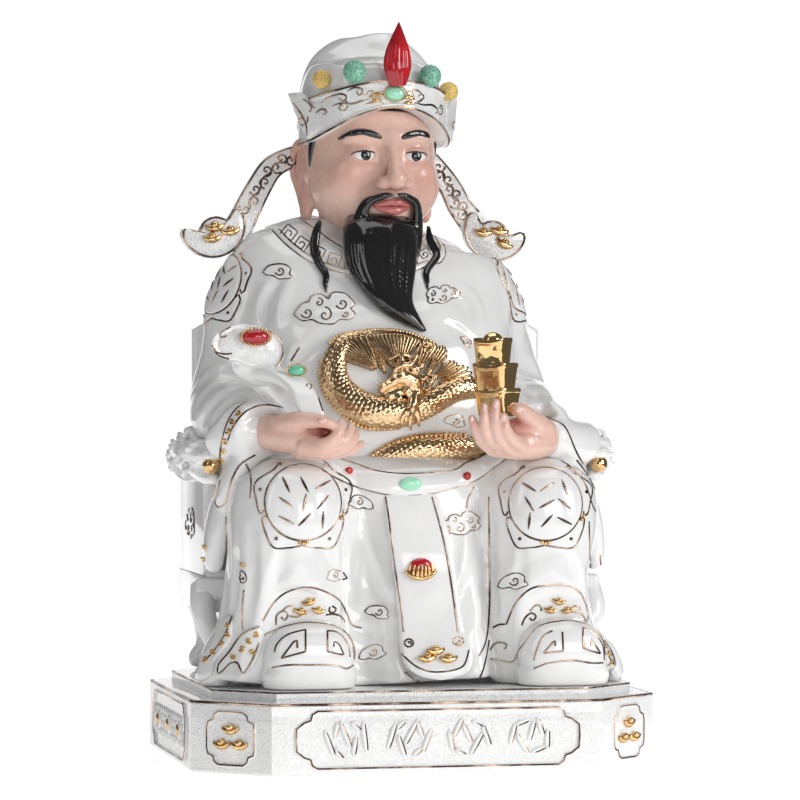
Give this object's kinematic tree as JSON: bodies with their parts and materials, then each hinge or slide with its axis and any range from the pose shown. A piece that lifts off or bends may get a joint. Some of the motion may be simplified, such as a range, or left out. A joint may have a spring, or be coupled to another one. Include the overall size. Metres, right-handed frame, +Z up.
{
  "type": "seated wealth god figure",
  "caption": "Seated bearded official in robe and winged hat on a dragon armchair and bevelled plinth, with sceptre and ingots; a standing ornament.",
  "frame": {"origin": "middle of the plinth's underside", "axes": "+Z up, the figure faces -Y, +X to the right of someone looking at its face"},
  "size_m": [0.2666, 0.2318, 0.4211],
  "materials": {
    "white_glaze": "clear glossy glaze over white porcelain",
    "gold_lustre": "bright gold lustre fired on the glaze",
    "gold_line": "fine brown-gold painted lines",
    "skin_glaze": "satin flesh enamel",
    "black_glaze": "glossy black enamel",
    "red_glaze": "glossy red enamel",
    "green_glaze": "green enamel",
    "yellow_glaze": "yellow enamel",
    "bare_porcelain": "unglazed foot"
  },
  "bodies": {
    "root": {"plinth": "white_glaze", "armchair": "white_glaze", "seated_figure": "white_glaze", "ruyi_sceptre": "white_glaze", "ingot_stack": "gold_lustre", "hat_wing_left": "white_glaze", "hat_wing_right": "white_glaze", "flame_plume": "red_glaze", "pompom_green_left": "green_glaze", "pompom_green_right": "green_glaze", "pompom_yellow_left": "yellow_glaze", "pompom_yellow_right": "yellow_glaze"}
  },
  "joints": []
}
